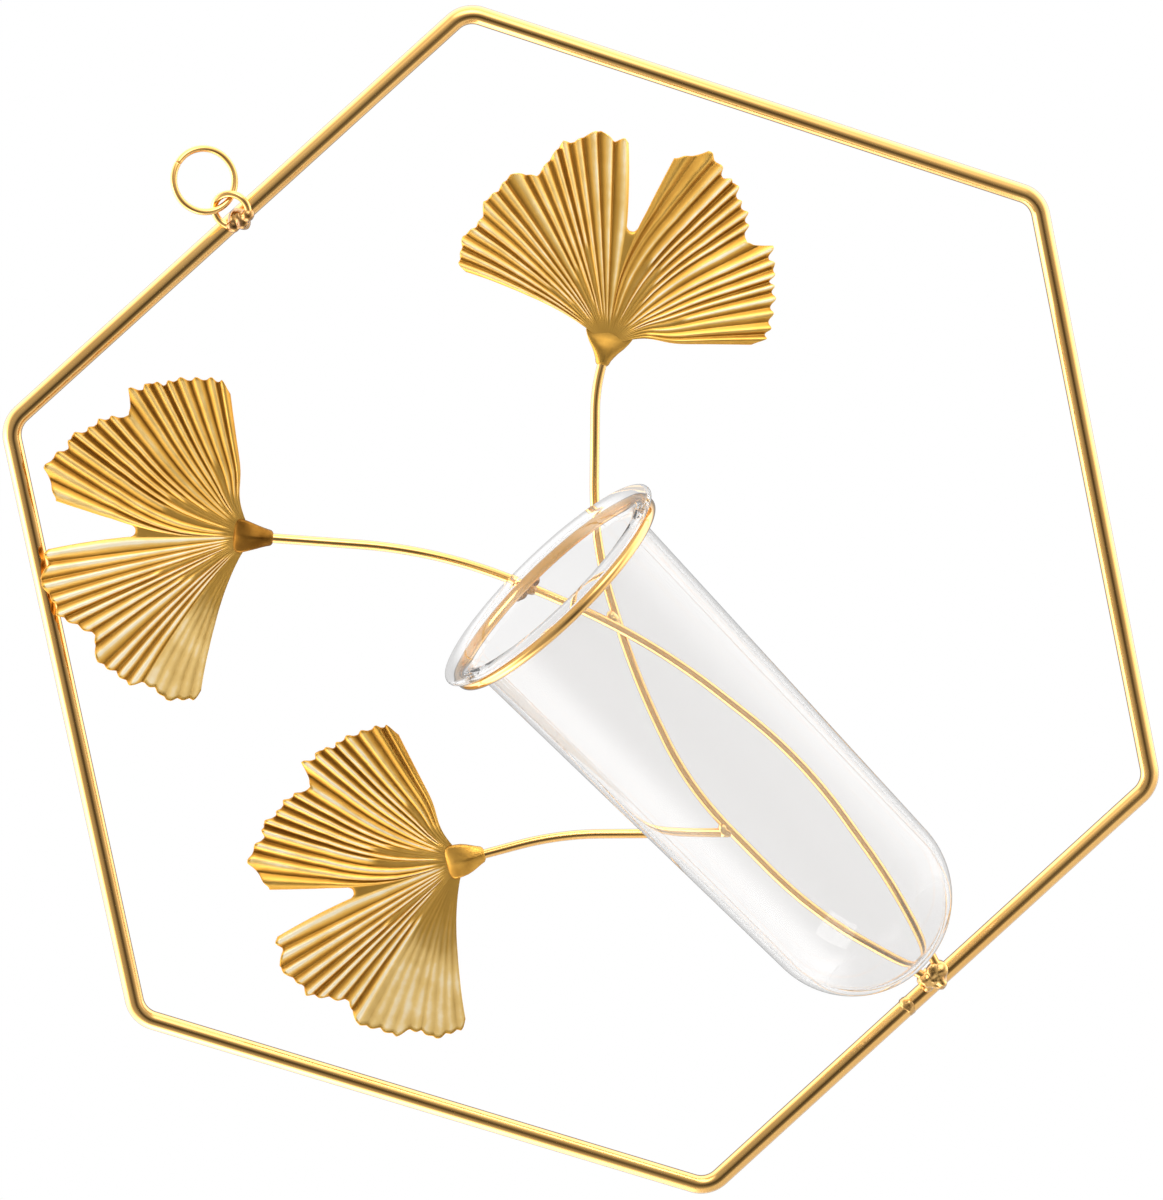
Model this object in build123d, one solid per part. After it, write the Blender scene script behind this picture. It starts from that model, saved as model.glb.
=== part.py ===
"""Hanging wall vase: a hexagon of bent rod with a small hanging ring, three pleated ginkgo leaves
on welded wire stems, and a glass tube that hangs by its lip in a wire neck ring.

Millimetres, +Z up, +X to the viewer's right and +Y towards the wall.
The origin is the middle of the hanging ring's hole.
"""

import math
import os

from build123d import *

# Hexagon frame
FRAME_SIDE = 130.0          # corner to corner along one side, on the rod's centre line
FRAME_ROD_D = 4.0
FRAME_BEND_R = 6.0          # centre-line radius of the bent corners
SEAM_X = -6.7               # where the two rod ends meet on the bottom side
SEAM_GAP = 0.8
SEAM_BEAD_PROUD = 0.15      # how far the seam's weld stands above the rod

# Hanging ring and its eyelet
EYELET_R = 3.7              # centre-line radius
EYELET_WIRE_D = 1.5
EYELET_YAW = 28.0           # degrees, right side turned towards the viewer
EYELET_RISE = 2.6           # eyelet's middle above the rod's axis
EYELET_WELD_R = 2.4
RING_R = 6.7                # centre-line radius of the hanging ring
RING_WIRE_D = 1.4
RING_YAW = 16.0             # degrees, right side turned towards the wall
RING_SPLIT_ANGLE = 4.0      # opening of the split ring
RING_SPLIT_AT = 105.0       # where the split lies, counter-clockwise from the right
LINK_CLEARANCE = 0.45       # between the ring's wire and the eyelet's crown

# Wire stems: corners as (x, height), from foot to tip
STEM_D = 2.0
SEAT = 0.05                 # gap between wires that a weld holds together
CROSSING_H = 105.0          # height where the two long stems cross, above the bottom rod's axis
UPPER_LEFT_FOOT = ((3.3, 0.8), (8.6, 23.0), (12.3, 57.0))       # heights above the bottom rod's axis
UPPER_LEFT_CROSSING = ((5.0, -5.5), (-15.0, 38.5))              # heights above the crossing
RIGHT_FOOT = ((0.6, 2.2), (-8.6, 31.0), (-10.2, 69.0))
RIGHT_CROSSING = ((-2.4, -9.5), (10.0, 17.5))
RIGHT_LAST_RUN = (7.9, 5.4)
BRANCH_H = 56.8             # height where the lower left stem meets the right stem
BRANCH_SLOPE = 41.6         # degrees that the branch falls at its foot
BRANCH_LAST_RUN = (-18.0, 9.5)
FILLET_SHARE = 0.45         # share of a run that its bend takes up

# Stem tips, where the leaves sit: inwards from the frame's corner on that side, and above its middle
UPPER_LEFT_TIP = (87.3, 60.4)
RIGHT_TIP = (90.3, 39.2)
LOWER_LEFT_TIP = (74.5, -22.4)

# Welds on the stems
CROSSING_WELD_R = 1.7
CROSSING_WELD_RISE = 2.4    # above the crossing
BRANCH_WELD_R = 1.7
BASE_WELD_R = 2.7

# Glass tube, measured along its own axis from the neck ring's plane
TUBE_NECK_D = 47.2
TUBE_END_D = 42.2           # where the straight wall meets the round end
TUBE_LENGTH = 117.0
TUBE_WALL = 2.2
LIP_OVERHANG = 1.05         # flat of the lip outside the flare
LIP_SEAT = 0.3              # gap between the lip's underside and the neck ring
FLARE_EASE = 0.2            # how much wider than the neck ring's wire the flare's hollow is

# Neck ring
NECK_WIRE_D = 2.4
NECK_CLEARANCE = 2.1        # between the glass and the inside of the ring
NECK_X = -3.8
NECK_H = 126.2              # ring's middle above the bottom rod's axis
NECK_LEAN = 2.2             # degrees, right side up
NECK_PITCH = 1.8            # degrees, front side down
LIP_STEM_CLEARANCE = 0.5    # between the lip and the stem behind it
NECK_WELD_R = 2.0

# Ginkgo leaves, from the cleft outwards: edge radii at angles from the leaf's axis, and the pleats' grooves
LEAF_LEFT_ANGLES = (
    7.0, 9.0, 12.0, 15.5, 20.0, 23.0, 26.0, 31.0, 36.5, 40.0,
    43.5, 49.0, 54.5, 58.0, 62.0, 66.5, 70.5, 74.5, 76.5,
)
LEAF_LEFT_RADII = (
    42.6, 43.8, 43.2, 45.6, 44.6, 43.6, 44.2, 41.3, 38.8, 40.7,
    41.8, 40.4, 40.4, 38.2, 37.9, 38.8, 37.3, 36.4, 34.6,
)
LEAF_LEFT_GROOVES = (
    10.3, 13.9, 17.8, 21.9, 25.9, 29.7, 33.1, 37.0, 41.4,
    46.6, 51.3, 56.0, 60.8, 65.2, 69.4, 73.4, 76.5,
)
LEAF_RIGHT_ANGLES = (
    7.0, 9.0, 14.0, 18.0, 21.5, 25.0, 28.5, 33.0, 37.0, 40.0,
    42.5, 45.5, 49.0, 51.5, 55.0, 60.0, 64.0, 70.0, 74.0, 76.5,
)
LEAF_RIGHT_RADII = (
    42.1, 43.0, 46.1, 45.2, 43.1, 43.9, 41.4, 40.6, 38.4, 36.2,
    38.0, 40.8, 38.9, 39.5, 37.4, 37.0, 35.8, 34.7, 33.5, 30.8,
)
LEAF_RIGHT_GROOVES = (
    12.9, 17.8, 22.2, 25.6, 28.8, 31.8, 34.9, 39.0, 44.4,
    49.6, 53.4, 57.0, 60.9, 65.3, 70.0, 73.4, 76.5,
)
LEAF_CLEFT_ANGLE = 2.7      # half the cleft's opening at its inner end, and at the leaf's edge
LEAF_MOUTH_ANGLE = 7.0
LEAF_CLEFT_R = 25.7
LEAF_ROOT_R = 2.2
LEAF_SHEET_T = 0.6
LEAF_STEEP_SHARE = 0.36     # share of a pleat that its steep flank takes, on the side of the cleft
LEAF_PLEAT_SLOPE = 0.012    # height of a ridge per millimetre from the root
LEAF_CUP_SLOPE = 0.06       # how far the outer edges come forward per millimetre from the root
LEAF_TOOTH = 0.5            # how far a ridge stands out past the grooves at the edge
FERRULE_BACK = 3.6          # crimped cone, behind the leaf's root point
FERRULE_FRONT = 4.4         # and in front of it
FERRULE_TIP_D = 3.0
FERRULE_MOUTH_W = 7.6
FERRULE_MOUTH_T = 3.4
STEM_TIP_BACK = 0.5         # stem's tip behind the leaf's root point

# Worked out from the sizes above
APOTHEM = FRAME_SIDE * math.sqrt(3) / 2
ROD_R = FRAME_ROD_D / 2
STEM_R = STEM_D / 2
STEM_FOOT_Y = -(ROD_R + STEM_R + SEAT)
STEM_PITCH = (STEM_D + SEAT) / 2 / CROSSING_H
NECK_RING_R = TUBE_NECK_D / 2 + NECK_CLEARANCE + NECK_WIRE_D / 2
LIP_UNDER = NECK_WIRE_D / 2 + LIP_SEAT
FLARE_R = NECK_CLEARANCE + NECK_WIRE_D / 2 + FLARE_EASE
LIP_R = TUBE_NECK_D / 2 + FLARE_R + LIP_OVERHANG + TUBE_WALL / 2
LINK_DROP = (EYELET_WIRE_D + RING_WIRE_D) / 2 + LINK_CLEARANCE


def eyelet_setback():
    """How far the eyelet's middle lies in front of the rod's axis, so that the loop just clears the rod."""
    reach = ROD_R + EYELET_WIRE_D / 2 + SEAT
    tilt = math.sin(math.radians(EYELET_YAW))
    needed = 0.0
    for degree in range(360):
        height = EYELET_RISE + EYELET_R * math.cos(math.radians(degree))
        if abs(height) < reach:
            forward = EYELET_R * math.sin(math.radians(degree)) * tilt
            needed = max(needed, math.sqrt(reach**2 - height**2) - forward)
    return needed


# Row frame: heights and depths of the main lines below and behind the hanging ring's middle
EYELET_Z = -RING_R + LINK_DROP - EYELET_R
TOP_ROD_Z = EYELET_Z - EYELET_RISE
CENTRE_Z = TOP_ROD_Z - APOTHEM
BOTTOM_ROD_Z = CENTRE_Z - APOTHEM
FRAME_Y = eyelet_setback()


def bend_radii(points):
    """The largest bend at each corner that leaves both of its runs room."""
    corners = [Vector(*p) for p in points]
    radii = []
    for before, corner, after in zip(corners, corners[1:], corners[2:]):
        run_in = corner - before
        run_out = after - corner
        turn = math.radians(run_in.get_angle(run_out))
        radii.append(FILLET_SHARE * min(run_in.length, run_out.length) / math.tan(turn / 2))
    return radii


def bent_wire(points, diameter, radii):
    """Centre line and solid of a round wire along straight runs and tangent arcs."""
    path = FilletPolyline(*points, radius=radii)
    section = Plane(origin=path @ 0, z_dir=path % 0) * Circle(diameter / 2)
    return path, sweep(section, path=path)


def wire_loop(radius, diameter, start, sweep_angle, plane):
    """A round wire bent to part of a circle in the given plane."""
    path = plane * CenterArc((0, 0), radius, start, sweep_angle)
    section = Plane(origin=path @ 0, z_dir=path % 0) * Circle(diameter / 2)
    return sweep(section, path=path)


def at_height(path, z):
    """The point of a rising centre line at height z."""
    low, high = 0.0, 1.0
    for _ in range(40):
        middle = (low + high) / 2
        if (path @ middle).Z < z:
            low = middle
        else:
            high = middle
    return path @ low


def bead(centre, radius, *neighbours):
    """A round weld bead that fits against the pieces it joins, its seam line turned to the left."""
    shape = Pos(*centre) * Rot(0, 0, 180) * Sphere(radius)
    for piece in neighbours:
        shape = shape - piece
    return shape


def upright_plane(x, y, z, yaw):
    """A plane standing upright, facing the viewer and turned by yaw degrees about Z."""
    turn = math.radians(yaw)
    return Plane(
        origin=(x, y, z),
        x_dir=(math.cos(turn), math.sin(turn), 0),
        z_dir=(math.sin(turn), -math.cos(turn), 0),
    )


# Frame

def make_frame():
    """The hexagon, open by the seam's gap, and the weld that closes it."""
    half = FRAME_SIDE / 2
    corners = [
        (half, -APOTHEM), (FRAME_SIDE, 0), (half, APOTHEM),
        (-half, APOTHEM), (-FRAME_SIDE, 0), (-half, -APOTHEM),
    ]
    ends = [(SEAM_X + SEAM_GAP / 2, -APOTHEM), (SEAM_X - SEAM_GAP / 2, -APOTHEM)]
    outline = [ends[0], *corners, ends[1]]
    points = [(x, FRAME_Y, CENTRE_Z + z) for x, z in outline]
    _, rod = bent_wire(points, FRAME_ROD_D, FRAME_BEND_R)
    seam = Pos(SEAM_X, FRAME_Y, BOTTOM_ROD_Z) * Rot(0, 90, 0) * Cylinder(ROD_R + SEAM_BEAD_PROUD, SEAM_GAP)
    return rod, seam


# Hanging ring

def make_hanger(frame_rod):
    """The eyelet on the top side, its weld, and the split ring that hangs in it."""
    eyelet_plane = upright_plane(0, 0, EYELET_Z, -EYELET_YAW)
    eyelet = wire_loop(EYELET_R, EYELET_WIRE_D, 0, 360, eyelet_plane)
    weld_centre = (0, FRAME_Y - ROD_R - EYELET_WIRE_D / 2, TOP_ROD_Z)
    weld = bead(weld_centre, EYELET_WELD_R, frame_rod, eyelet)
    ring_plane = upright_plane(0, 0, 0, RING_YAW)
    start = RING_SPLIT_AT + RING_SPLIT_ANGLE / 2
    ring = wire_loop(RING_R, RING_WIRE_D, start, 360 - RING_SPLIT_ANGLE, ring_plane)
    return eyelet, weld, ring


# Stems

def stem_tip(tip, side):
    """A stem's tip as (x, height), from the frame's corner on that side and its middle."""
    inwards, above_middle = tip
    return side * (FRAME_SIDE - inwards), APOTHEM + above_middle


def before_tip(tip, last_run):
    """The corner one run before a stem's tip."""
    return tip[0] - last_run[0], tip[1] - last_run[1]


def long_route(foot, crossing, ending):
    """Corners of a long stem: its foot on the frame, its stretch through the crossing, and its tip."""
    return [*foot, *[(x, CROSSING_H + rise) for x, rise in crossing], *ending]


def stem_points(route, lean):
    """Corners of a stem in the row frame; lean is how far it comes forward per millimetre of height."""
    foot_y = FRAME_Y + STEM_FOOT_Y
    return [(x, foot_y - lean * height, BOTTOM_ROD_Z + height) for x, height in route]


def make_stems(frame_rod):
    """The three stems with their centre lines, and the welds between them and on the frame."""
    left_tip = stem_tip(UPPER_LEFT_TIP, -1)
    left_points = stem_points(long_route(UPPER_LEFT_FOOT, UPPER_LEFT_CROSSING, [left_tip]), STEM_PITCH)
    left_path, left = bent_wire(left_points, STEM_D, bend_radii(left_points))
    right_tip = stem_tip(RIGHT_TIP, 1)
    right_ending = [before_tip(right_tip, RIGHT_LAST_RUN), right_tip]
    right_points = stem_points(long_route(RIGHT_FOOT, RIGHT_CROSSING, right_ending), -STEM_PITCH)
    right_path, right = bent_wire(right_points, STEM_D, bend_radii(right_points))

    joint = at_height(right_path, BOTTOM_ROD_Z + BRANCH_H)
    slope = math.radians(BRANCH_SLOPE)
    foot_x = joint.X - STEM_R - STEM_R * math.sin(slope) - SEAT
    branch_points = [(foot_x, joint.Y, joint.Z)]
    branch_tip = stem_tip(LOWER_LEFT_TIP, -1)
    branch_ending = [before_tip(branch_tip, BRANCH_LAST_RUN), branch_tip]
    branch_points += [(x, joint.Y, BOTTOM_ROD_Z + height) for x, height in branch_ending]
    branch_path, branch = bent_wire(branch_points, STEM_D, bend_radii(branch_points))
    branch_weld = bead((foot_x + STEM_R / 2, joint.Y, joint.Z), BRANCH_WELD_R, right, branch)

    cross_left = at_height(left_path, BOTTOM_ROD_Z + CROSSING_H + CROSSING_WELD_RISE)
    cross_right = at_height(right_path, BOTTOM_ROD_Z + CROSSING_H + CROSSING_WELD_RISE)
    crossing_weld = bead((cross_left + cross_right) * 0.5, CROSSING_WELD_R, left, right)

    left_foot = left_path @ 0
    right_foot = right_path @ 0
    between = (left_foot + right_foot) * 0.5
    base_weld = bead((between.X, left_foot.Y + STEM_R / 2, between.Z), BASE_WELD_R, frame_rod, left, right)
    stems = {
        "upper_left": (left_path, left),
        "right": (right_path, right),
        "lower_left": (branch_path, branch),
    }
    return stems, crossing_weld, branch_weld, base_weld


# Leaves

def edge_radius(angles, radii, angle):
    """Radius of a leaf's edge at an angle from its axis, in straight lines between the given points."""
    for a0, r0, a1, r1 in zip(angles, radii, angles[1:], radii[1:]):
        if angle <= a1:
            return r0 + (r1 - r0) * (angle - a0) / (a1 - a0)
    return radii[-1]


def leaf_rays(angles, radii, grooves, side):
    """The fold lines of one half, from the cleft outwards, as (angle, edge radius, rise per millimetre).

    Each pleat climbs on its steep flank to a ridge and falls on its broad one to the next groove.
    """
    last = angles[-1]
    starts = (LEAF_MOUTH_ANGLE, *grooves)
    folds = [(LEAF_CLEFT_ANGLE, LEAF_CLEFT_R, -1)]
    for groove, following in zip(starts, grooves):
        ridge = groove + (following - groove) * LEAF_STEEP_SHARE
        folds.append((ridge, edge_radius(angles, radii, ridge) + LEAF_TOOTH, 1))
        folds.append((following, edge_radius(angles, radii, following), -1))
    rays = []
    for angle, radius, height in folds:
        rise = height * LEAF_PLEAT_SLOPE + LEAF_CUP_SLOPE * (angle / last) ** 2
        rays.append((side * angle, radius, rise))
    return rays


def ray_between(first, second, angle, radius):
    """A ray at an angle in the flat of the pleat between two fold lines."""
    whole = math.sin(math.radians(second[0] - first[0]))
    share_first = math.sin(math.radians(second[0] - angle)) / whole
    share_second = math.sin(math.radians(angle - first[0])) / whole
    return angle, radius, share_first * first[2] + share_second * second[2]


def leaf_point(ray, radius, back):
    """A point on a fold line, on the front of the sheet or its back."""
    angle = math.radians(ray[0])
    height = ray[2] * radius - back * LEAF_SHEET_T
    return (radius * math.cos(angle), radius * math.sin(angle), height)


def flat_face(points):
    return Face(Wire.make_polygon(points, close=True))


def make_leaf():
    """One leaf as a fan of flat pleats from its root: x along its axis, z towards the viewer.

    Every fold line starts at the root point, so each pleat is a flat triangle cut off at the root.
    The cleft's sides cut across the first pleat of each half.
    """
    right_half = leaf_rays(LEAF_RIGHT_ANGLES, LEAF_RIGHT_RADII, LEAF_RIGHT_GROOVES, -1)
    left_half = leaf_rays(LEAF_LEFT_ANGLES, LEAF_LEFT_RADII, LEAF_LEFT_GROOVES, 1)
    right_corner = ray_between(right_half[0], right_half[1], -LEAF_MOUTH_ANGLE, LEAF_RIGHT_RADII[0])
    left_corner = ray_between(left_half[0], left_half[1], LEAF_MOUTH_ANGLE, LEAF_LEFT_RADII[0])
    rays = right_half[::-1] + left_half
    corners = {len(right_half) - 2: [right_corner], len(right_half): [left_corner]}
    faces = []
    for i, (ray, following) in enumerate(zip(rays, rays[1:])):
        edge = [ray, *corners.get(i, []), following]
        for back in (0, 1):
            outline = [leaf_point(ray, LEAF_ROOT_R, back)]
            outline += [leaf_point(spot, spot[1], back) for spot in edge]
            outline.append(leaf_point(following, LEAF_ROOT_R, back))
            faces.append(flat_face(outline))
        rims = [(a, a[1], b, b[1]) for a, b in zip(edge, edge[1:])]
        rims.append((ray, LEAF_ROOT_R, following, LEAF_ROOT_R))
        for a, a_radius, b, b_radius in rims:
            front_edge = [leaf_point(a, a_radius, 0), leaf_point(b, b_radius, 0)]
            back_edge = [leaf_point(b, b_radius, 1), leaf_point(a, a_radius, 1)]
            faces.append(flat_face(front_edge + back_edge))
    for ray in (rays[0], rays[-1]):
        front_edge = [leaf_point(ray, LEAF_ROOT_R, 0), leaf_point(ray, ray[1], 0)]
        back_edge = [leaf_point(ray, ray[1], 1), leaf_point(ray, LEAF_ROOT_R, 1)]
        faces.append(flat_face(front_edge + back_edge))
    return Solid(Shell(faces))


def make_ferrule():
    """The crimped cone, round at the stem and wide and flat at the leaf."""
    tip = Plane(origin=(-FERRULE_BACK, 0, 0), x_dir=(0, 1, 0), z_dir=(1, 0, 0)) * Circle(FERRULE_TIP_D / 2)
    mouth_plane = Plane(origin=(FERRULE_FRONT, 0, 0), x_dir=(0, 1, 0), z_dir=(1, 0, 0))
    mouth = mouth_plane * Ellipse(FERRULE_MOUTH_W / 2, FERRULE_MOUTH_T / 2)
    return loft([tip, mouth])


def leaf_plane(path):
    """Where a leaf sits on its stem: the root point just past the tip, in line with the stem."""
    along = (path % 1).normalized()
    root = path @ 1 + along * STEM_TIP_BACK
    towards_viewer = Vector(0, -1, 0)
    normal = towards_viewer - along * towards_viewer.dot(along)
    return Plane(origin=root, x_dir=along, z_dir=normal)


# Glass tube and neck ring

def make_glass():
    """The glass as a turned section: round end, straight tapering wall, flare and rolled lip."""
    neck_r = TUBE_NECK_D / 2
    end_r = TUBE_END_D / 2
    lip_top = LIP_UNDER + TUBE_WALL
    end_z = lip_top - TUBE_LENGTH + end_r
    flare_x = neck_r + FLARE_R
    flare_z = LIP_UNDER - FLARE_R
    inner_flare = FLARE_R + TUBE_WALL
    diagonal = math.sqrt(0.5)
    lip_x = LIP_R - TUBE_WALL / 2
    outer = [
        ThreePointArc((0, end_z - end_r), (end_r * diagonal, end_z - end_r * diagonal), (end_r, end_z)),
        Line((end_r, end_z), (neck_r, flare_z)),
        ThreePointArc(
            (neck_r, flare_z),
            (flare_x - FLARE_R * diagonal, flare_z + FLARE_R * diagonal),
            (flare_x, LIP_UNDER),
        ),
        Line((flare_x, LIP_UNDER), (lip_x, LIP_UNDER)),
        ThreePointArc((lip_x, LIP_UNDER), (LIP_R, LIP_UNDER + TUBE_WALL / 2), (lip_x, lip_top)),
    ]
    inner_end = end_r - TUBE_WALL
    inner = [
        Line((lip_x, lip_top), (flare_x, lip_top)),
        ThreePointArc(
            (flare_x, lip_top),
            (flare_x - inner_flare * diagonal, flare_z + inner_flare * diagonal),
            (neck_r - TUBE_WALL, flare_z),
        ),
        Line((neck_r - TUBE_WALL, flare_z), (inner_end, end_z)),
        ThreePointArc(
            (inner_end, end_z),
            (inner_end * diagonal, end_z - inner_end * diagonal),
            (0, end_z - inner_end),
        ),
        Line((0, end_z - inner_end), (0, end_z - end_r)),
    ]
    section = Plane.XZ * make_face(outer + inner)
    return revolve(section, Axis.Z)


def make_vase(left_path, left_stem):
    """The neck ring in front of the upper left stem, its weld, and the glass that hangs in it."""
    carrier = at_height(left_path, BOTTOM_ROD_Z + NECK_H)
    reach = LIP_R + LIP_STEM_CLEARANCE + STEM_R
    offset = NECK_X - carrier.X
    depth = carrier.Y - math.sqrt(reach**2 - offset**2)
    place = Pos(NECK_X, depth, BOTTOM_ROD_Z + NECK_H) * Rot(NECK_PITCH, -NECK_LEAN, 0)
    ring = place * Torus(NECK_RING_R, NECK_WIRE_D / 2)
    share = (NECK_RING_R + reach) / 2 / reach
    weld_x = NECK_X - offset * share
    weld_y = depth + (carrier.Y - depth) * share
    weld = bead((weld_x, weld_y, carrier.Z), NECK_WELD_R, ring, left_stem)
    return ring, weld, place * make_glass()


def main():
    os.makedirs("parts", exist_ok=True)
    frame_rod, seam = make_frame()
    eyelet, eyelet_weld, hanging_ring = make_hanger(frame_rod)
    stems, crossing_weld, branch_weld, base_weld = make_stems(frame_rod)
    neck_ring, neck_weld, glass = make_vase(*stems["upper_left"])
    pieces = {
        "hexagon_frame": frame_rod,
        "frame_seam_weld": seam,
        "hanging_eyelet": eyelet,
        "eyelet_weld": eyelet_weld,
        "hanging_ring": hanging_ring,
        "crossing_weld": crossing_weld,
        "branch_weld": branch_weld,
        "base_weld": base_weld,
        "neck_ring": neck_ring,
        "neck_ring_weld": neck_weld,
        "glass_tube": glass,
    }
    leaf = make_leaf()
    ferrule = make_ferrule() - leaf
    for name, (path, stem) in stems.items():
        place = leaf_plane(path).location
        pieces[f"{name}_stem"] = stem
        pieces[f"{name}_leaf"] = place * leaf
        pieces[f"{name}_leaf_ferrule"] = place * ferrule - stem
    for name, shape in pieces.items():
        export_step(shape, f"parts/{name}.step")


main()
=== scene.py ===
"""Looks of the hanging wall vase: gold wire hexagon, pleated ginkgo leaves and a glass tube.

Sizes are in millimetres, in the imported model's frame: +X to the viewer's right, +Y towards the wall, +Z up,
with the origin in the middle of the hanging ring's hole. Meshes are written in metres.
"""

import math

import bpy
import numpy as np
from mathutils import Matrix


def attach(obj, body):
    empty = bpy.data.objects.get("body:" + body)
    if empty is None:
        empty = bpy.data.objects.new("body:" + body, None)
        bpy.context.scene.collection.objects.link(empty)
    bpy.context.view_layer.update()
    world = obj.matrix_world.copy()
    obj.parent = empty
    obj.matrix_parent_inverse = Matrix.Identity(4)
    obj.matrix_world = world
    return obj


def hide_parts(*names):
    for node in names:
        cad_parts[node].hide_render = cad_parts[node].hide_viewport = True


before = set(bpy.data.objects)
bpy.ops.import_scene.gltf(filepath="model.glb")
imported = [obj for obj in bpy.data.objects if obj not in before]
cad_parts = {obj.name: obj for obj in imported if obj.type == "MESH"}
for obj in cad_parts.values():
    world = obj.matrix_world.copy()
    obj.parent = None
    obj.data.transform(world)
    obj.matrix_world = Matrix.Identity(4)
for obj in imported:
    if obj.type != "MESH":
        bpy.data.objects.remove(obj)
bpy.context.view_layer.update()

MM = 0.001

# Points round and along the wires and the glass
ROD_SIDES = 56
STEM_SIDES = 32
RING_SIDES = 28
RING_ROWS = 110
EYELET_ROWS = 72
HOOP_SIDES = 36
HOOP_ROWS = 200
GLASS_SEGMENTS = 360

# Hexagon of bent rod
FRAME_SIDE = 130.0
ROD_R = 2.0
FRAME_BEND_R = 6.0
ROD_END_ROUND = 0.3
SEAM_X = -6.7
SEAM_GAP = 0.8
FRAME_Y = 4.2
APOTHEM = FRAME_SIDE * math.sqrt(3) / 2

# Hanging ring and eyelet
EYELET_R = 3.7
EYELET_WIRE_R = 0.75
EYELET_YAW = -28.0
EYELET_Z = -8.5
RING_R = 6.7
RING_WIRE_R = 0.7
RING_END_ROUND = 0.2
RING_YAW = 16.0
RING_SPLIT_AT = 105.0
RING_SPLIT_ANGLE = 0.8
EYELET_ABOVE_ROD = 2.6
TOP_ROD_Z = EYELET_Z - EYELET_ABOVE_ROD
CENTRE_Z = TOP_ROD_Z - APOTHEM
BOTTOM_ROD_Z = CENTRE_Z - APOTHEM

# Wire stems
STEM_R = 1.0
STEM_END_ROUND = 0.35
SEAT = 0.05
CROSSING_H = 105.0
STEM_FOOT_Y = FRAME_Y - ROD_R - STEM_R - SEAT
STEM_PITCH = (2 * STEM_R + SEAT) / 2 / CROSSING_H
FILLET_SHARE = 0.45
BRANCH_H = 56.8
BRANCH_SLOPE = 41.6

# Neck ring and glass tube
NECK_RING_R = 26.9
NECK_WIRE_R = 1.2
NECK_X = -3.8
NECK_H = 126.2
NECK_LEAN = 2.2
NECK_PITCH = 1.8
TUBE_NECK_R = 23.6
TUBE_END_R = 21.1
TUBE_WALL = 1.3
LIP_T = 1.6
LIP_UNDER = 1.5
FLARE_R = 3.5
LIP_R = 29.25
LIP_CLEAR = 0.5
TUBE_BOTTOM = -113.3

# Ginkgo leaf: edge radii at angles from the leaf's axis, then the ribs' crests and grooves where they
# cross the radius of 36, and how far out from the root each rib begins
LEFT_EDGE = (
    (7, 9, 12, 15.5, 20, 23, 26, 31, 36.5, 40, 43.5, 49, 54.5, 58, 62, 66.5, 70.5, 74.5, 76.5),
    (42.6, 43.8, 43.2, 45.6, 44.6, 43.6, 44.2, 41.3, 38.8, 40.7,
     41.8, 40.4, 40.4, 38.2, 37.9, 38.8, 37.3, 36.4, 33.6),
)
LEFT_CRESTS = (
    8, 13, 17.4, 21.9, 25.9, 29, 33.1, 37.3, 41.2, 46.3, 50.3, 54.6, 59.5, 62.8, 67.5, 71, 75,
)
LEFT_GROOVES = (
    11.3, 15.9, 20.2, 24, 27.5, 30.9, 35, 39.1, 44.7, 48.7, 52.7, 57, 61.2, 65.2, 69.2, 73,
)
LEFT_STARTS = (8, 8, 9, 9, 24, 9, 12, 20, 18, 10, 9, 9, 14.5, 20, 12, 10, 10)
RIGHT_EDGE = (
    (7, 9, 14, 18, 21.5, 25, 28.5, 33, 37, 40, 42.5, 45.5, 49, 51.5, 55, 60, 64, 70, 74, 76.5),
    (42.1, 43, 46.1, 45.2, 43.1, 43.9, 41.4, 40.6, 38.4, 36.2,
     38, 40.8, 38.9, 39.5, 37.4, 37, 35.8, 34.7, 33.5, 30.8),
)
RIGHT_CRESTS = (
    6.8, 12, 16.7, 21.3, 24.5, 28.1, 32.1, 35.6, 40.1, 45.6, 49.6, 53.6, 56.8, 61, 65.7, 70.8, 74.3,
)
RIGHT_GROOVES = (
    9.3, 14.2, 18.5, 22.8, 26.1, 30, 33.7, 37.2, 42.9, 47.5, 51.5, 55.2, 58.8, 63.4, 68.3, 72.6,
)
RIGHT_STARTS = (8, 9, 9, 22, 9, 22, 19, 14, 9, 9, 12, 9, 9, 20, 13, 12, 12)
LEFT_CLEFT_SIDE = 6.3
RIGHT_CLEFT_SIDE = 4.8
LEAF_SIDE = 76.5
LEAF_CLEFT_R = 25.7
LEAF_CLEFT_ROUND = 0.9
LEAF_ROOT_R = 2.2
LEAF_MEAN_R = 40.0
LEAF_SHEET_T = 0.6
RIB_RADIUS = 36
RIB_SLOPE = 0.012
RIB_BEGIN_FADE = (3.5, 1.5)
RIB_ROOT_SHARE = 0.25
LEAF_CUP_SLOPE = 0.06
LEFT_TOOTH = 0.5
RIGHT_TOOTH = 0.8
# Width of the painted shade along the leaf's edge, then the rows crowded at the edge
LEAF_RIM = 0.7
LEAF_RIM_ROWS = (0.965, 0.988, 0.997, 1.0)
LEAF_EDGE_ROUND = 0.25
LEAF_EDGE_EASE = 0.12
LEAF_FLAT_SHARE = 0.13
# The leaf's plain tone of painted shading, and the painted lightening of its flat outer part
LEAF_PLAIN_TONE = 0.57
LEAF_FLAT_PAINTED_LIFT = 0.36
LEAF_UV_SHIFT = 60
STEM_TIP_BACK = 0.5

# Camera at the photograph's angle, turned about the frame's middle
VIEW_AZIMUTH = math.radians(-1.07)
VIEW_ELEVATION = math.radians(10.8)
VIEW_ROLL = math.radians(-42.06)
VIEW_DISTANCE = 1668.0
VIEW_ASIDE = (-1.454, 1.369)
LENS = 234.0
SENSOR_WIDTH = 36.0

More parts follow.
